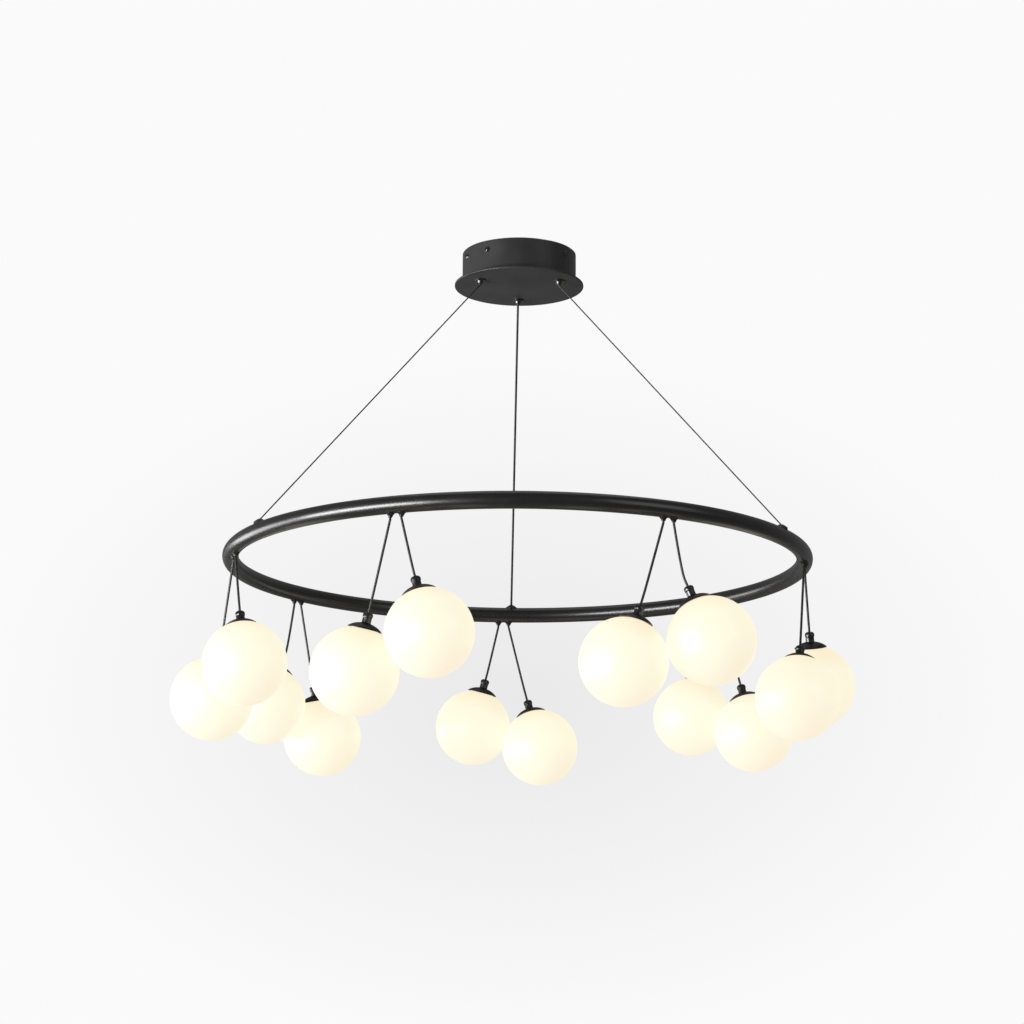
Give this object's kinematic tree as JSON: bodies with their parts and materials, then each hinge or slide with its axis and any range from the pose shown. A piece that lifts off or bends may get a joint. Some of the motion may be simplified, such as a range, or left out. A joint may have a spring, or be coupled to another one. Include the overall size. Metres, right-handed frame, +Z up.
{
  "type": "orb chandelier",
  "caption": "Black tube ring hung on cables from a round canopy, with pairs of opal glass globes on long and short cords.",
  "frame": {"origin": "centre of the ceiling face, on the lamp's vertical centre line", "axes": "+Z up into the ceiling; +Y towards the feed cord's side of the ring; the picture is taken from -Y, from below"},
  "size_m": [0.9894, 0.9689, 0.7571],
  "materials": {
    "canopy_paint": "satin black powder coat",
    "ring_paint": "semi-gloss black",
    "gloss_black_metal": "gloss black",
    "holder_black": "gloss black",
    "black_cord": "smooth round black cord",
    "steel_wire": "dark stranded steel",
    "plated_steel": "zinc plated",
    "terminal_plastic": "matt white",
    "opal_glass": "opal glass, lit from inside"
  },
  "bodies": {
    "canopy": {"ceiling_plate": "plated_steel", "canopy_drum": "canopy_paint", "canopy_disc": "canopy_paint", "side_screws": "gloss_black_metal", "terminal_block": "terminal_plastic", "canopy_lead": "black_cord", "gripper_bodies": "gloss_black_metal", "gripper_nuts": "plated_steel", "feed_cord": "black_cord", "steel_cable_left": "steel_wire", "steel_cable_right": "steel_wire"},
    "ring": {"ring_tube": "ring_paint", "cable_anchors": "gloss_black_metal", "cord_glands": "gloss_black_metal", "ring_wiring": "black_cord"},
    "plunger_feed": {"gripper_plunger_feed": "gloss_black_metal"},
    "plunger_left": {"gripper_plunger_left": "gloss_black_metal"},
    "plunger_right": {"gripper_plunger_right": "gloss_black_metal"},
    "pendant_1_long": {"cord_1_long": "black_cord", "holder_1_long": "holder_black"},
    "glass_1_long": {"globe_1_long": "opal_glass"},
    "pendant_1_short": {"cord_1_short": "black_cord", "holder_1_short": "holder_black"},
    "glass_1_short": {"globe_1_short": "opal_glass"},
    "pendant_2_long": {"cord_2_long": "black_cord", "holder_2_long": "holder_black"},
    "glass_2_long": {"globe_2_long": "opal_glass"},
    "pendant_2_short": {"cord_2_short": "black_cord", "holder_2_short": "holder_black"},
    "glass_2_short": {"globe_2_short": "opal_glass"},
    "pendant_3_long": {"cord_3_long": "black_cord", "holder_3_long": "holder_black"},
    "glass_3_long": {"globe_3_long": "opal_glass"},
    "pendant_3_short": {"cord_3_short": "black_cord", "holder_3_short": "holder_black"},
    "glass_3_short": {"globe_3_short": "opal_glass"},
    "pendant_4_long": {"cord_4_long": "black_cord", "holder_4_long": "holder_black"},
    "glass_4_long": {"globe_4_long": "opal_glass"},
    "pendant_4_short": {"cord_4_short": "black_cord", "holder_4_short": "holder_black"},
    "glass_4_short": {"globe_4_short": "opal_glass"},
    "pendant_5_long": {"cord_5_long": "black_cord", "holder_5_long": "holder_black"},
    "glass_5_long": {"globe_5_long": "opal_glass"},
    "pendant_5_short": {"cord_5_short": "black_cord", "holder_5_short": "holder_black"},
    "glass_5_short": {"globe_5_short": "opal_glass"},
    "pendant_6_long": {"cord_6_long": "black_cord", "holder_6_long": "holder_black"},
    "glass_6_long": {"globe_6_long": "opal_glass"},
    "pendant_6_short": {"cord_6_short": "black_cord", "holder_6_short": "holder_black"},
    "glass_6_short": {"globe_6_short": "opal_glass"},
    "pendant_7_long": {"cord_7_long": "black_cord", "holder_7_long": "holder_black"},
    "glass_7_long": {"globe_7_long": "opal_glass"},
    "pendant_7_short": {"cord_7_short": "black_cord", "holder_7_short": "holder_black"},
    "glass_7_short": {"globe_7_short": "opal_glass"}
  },
  "joints": [
    {"name": "height_adjust", "type": "slide", "parent": "canopy", "child": "ring", "axis": [0, 0, 1], "range_m": [0, 0.2], "deforming": ["feed_cord", "steel_cable_left", "steel_cable_right"]},
    {"name": "gripper_release_feed", "type": "slide", "parent": "canopy", "child": "plunger_feed", "axis": [0, 0, 1], "range_m": [0, 0.002], "stiffness_N_per_m": 500, "springref_m": -0.002},
    {"name": "gripper_release_left", "type": "slide", "parent": "canopy", "child": "plunger_left", "axis": [0, 0, 1], "range_m": [0, 0.002], "stiffness_N_per_m": 500, "springref_m": -0.002},
    {"name": "gripper_release_right", "type": "slide", "parent": "canopy", "child": "plunger_right", "axis": [0, 0, 1], "range_m": [0, 0.002], "stiffness_N_per_m": 500, "springref_m": -0.002},
    {"name": "swing_1_long", "type": "hinge", "parent": "ring", "child": "pendant_1_long", "pos_m": [-0.00429, 0.42098, -0.495], "axis": [-0.9041, 0.4274, 0], "range_deg": [-20, 20]},
    {"name": "globe_off_1_long", "type": "slide", "parent": "pendant_1_long", "child": "glass_1_long", "axis": [0.2549, -0.1205, -0.9594], "range_m": [0, 0.075]},
    {"name": "swing_1_short", "type": "hinge", "parent": "ring", "child": "pendant_1_short", "pos_m": [-0.02068, 0.42049, -0.495], "axis": [-0.9041, 0.4274, 0], "range_deg": [-20, 20]},
    {"name": "globe_off_1_short", "type": "slide", "parent": "pendant_1_short", "child": "glass_1_short", "axis": [-0.2474, 0.1169, -0.9618], "range_m": [0, 0.075]},
    {"name": "swing_2_long", "type": "hinge", "parent": "ring", "child": "pendant_2_long", "pos_m": [-0.33181, 0.25912, -0.495], "axis": [-0.7416, -0.6708, 0], "range_deg": [-20, 20]},
    {"name": "globe_off_2_long", "type": "slide", "parent": "pendant_2_long", "child": "glass_2_long", "axis": [0.1795, 0.1623, -0.9703], "range_m": [0, 0.075]},
    {"name": "swing_2_short", "type": "hinge", "parent": "ring", "child": "pendant_2_short", "pos_m": [-0.34165, 0.246, -0.495], "axis": [-0.7416, -0.6708, 0], "range_deg": [-20, 20]},
    {"name": "globe_off_2_short", "type": "slide", "parent": "pendant_2_short", "child": "glass_2_short", "axis": [-0.2898, -0.2621, -0.9205], "range_m": [0, 0.075]},
    {"name": "swing_3_long", "type": "hinge", "parent": "ring", "child": "pendant_3_long", "pos_m": [-0.40947, -0.09786, -0.495], "axis": [0.4933, -0.8699, 0], "range_deg": [-20, 20]},
    {"name": "globe_off_3_long", "type": "slide", "parent": "pendant_3_long", "child": "glass_3_long", "axis": [-0.1517, 0.2676, -0.9515], "range_m": [0, 0.075]},
    {"name": "swing_3_short", "type": "hinge", "parent": "ring", "child": "pendant_3_short", "pos_m": [-0.40535, -0.11373, -0.495], "axis": [0.4933, -0.8699, 0], "range_deg": [-20, 20]},
    {"name": "globe_off_3_short", "type": "slide", "parent": "pendant_3_short", "child": "glass_3_short", "axis": [0.1267, -0.2234, -0.9665], "range_m": [0, 0.075]},
    {"name": "swing_4_long", "type": "hinge", "parent": "ring", "child": "pendant_4_long", "pos_m": [-0.17879, -0.38115, -0.495], "axis": [0.8745, -0.485, 0], "range_deg": [-20, 20]},
    {"name": "globe_off_4_long", "type": "slide", "parent": "pendant_4_long", "child": "glass_4_long", "axis": [-0.2241, 0.1243, -0.9666], "range_m": [0, 0.075]},
    {"name": "swing_4_short", "type": "hinge", "parent": "ring", "child": "pendant_4_short", "pos_m": [-0.16381, -0.38782, -0.495], "axis": [0.8745, -0.485, 0], "range_deg": [-20, 20]},
    {"name": "globe_off_4_short", "type": "slide", "parent": "pendant_4_short", "child": "glass_4_short", "axis": [0.2509, -0.1392, -0.9579], "range_m": [0, 0.075]},
    {"name": "swing_5_long", "type": "hinge", "parent": "ring", "child": "pendant_5_long", "pos_m": [0.18652, -0.37743, -0.495], "axis": [0.998, -0.0625, 0], "range_deg": [-20, 20]},
    {"name": "globe_off_5_long", "type": "slide", "parent": "pendant_5_long", "child": "glass_5_long", "axis": [-0.2845, 0.0178, -0.9585], "range_m": [0, 0.075]},
    {"name": "swing_5_short", "type": "hinge", "parent": "ring", "child": "pendant_5_short", "pos_m": [0.20108, -0.36988, -0.495], "axis": [0.998, -0.0625, 0], "range_deg": [-20, 20]},
    {"name": "globe_off_5_short", "type": "slide", "parent": "pendant_5_short", "child": "glass_5_short", "axis": [0.39, -0.0244, -0.9205], "range_m": [0, 0.075]},
    {"name": "swing_6_long", "type": "hinge", "parent": "ring", "child": "pendant_6_long", "pos_m": [0.41138, -0.08949, -0.495], "axis": [0.3446, 0.9388, 0], "range_deg": [-20, 20]},
    {"name": "globe_off_6_long", "type": "slide", "parent": "pendant_6_long", "child": "glass_6_long", "axis": [-0.0944, -0.2572, -0.9617], "range_m": [0, 0.075]},
    {"name": "swing_6_short", "type": "hinge", "parent": "ring", "child": "pendant_6_short", "pos_m": [0.41455, -0.0734, -0.495], "axis": [0.3446, 0.9388, 0], "range_deg": [-20, 20]},
    {"name": "globe_off_6_short", "type": "slide", "parent": "pendant_6_short", "child": "glass_6_short", "axis": [0.0968, 0.2636, -0.9598], "range_m": [0, 0.075]},
    {"name": "swing_7_long", "type": "hinge", "parent": "ring", "child": "pendant_7_long", "pos_m": [0.32646, 0.26583, -0.495], "axis": [-0.7909, 0.6119, 0], "range_deg": [-20, 20]},
    {"name": "globe_off_7_long", "type": "slide", "parent": "pendant_7_long", "child": "glass_7_long", "axis": [0.2285, -0.1768, -0.9573], "range_m": [0, 0.075]},
    {"name": "swing_7_short", "type": "hinge", "parent": "ring", "child": "pendant_7_short", "pos_m": [0.31586, 0.27834, -0.495], "axis": [-0.7909, 0.6119, 0], "range_deg": [-20, 20]},
    {"name": "globe_off_7_short", "type": "slide", "parent": "pendant_7_short", "child": "glass_7_short", "axis": [-0.2129, 0.1647, -0.9631], "range_m": [0, 0.075]}
  ]
}
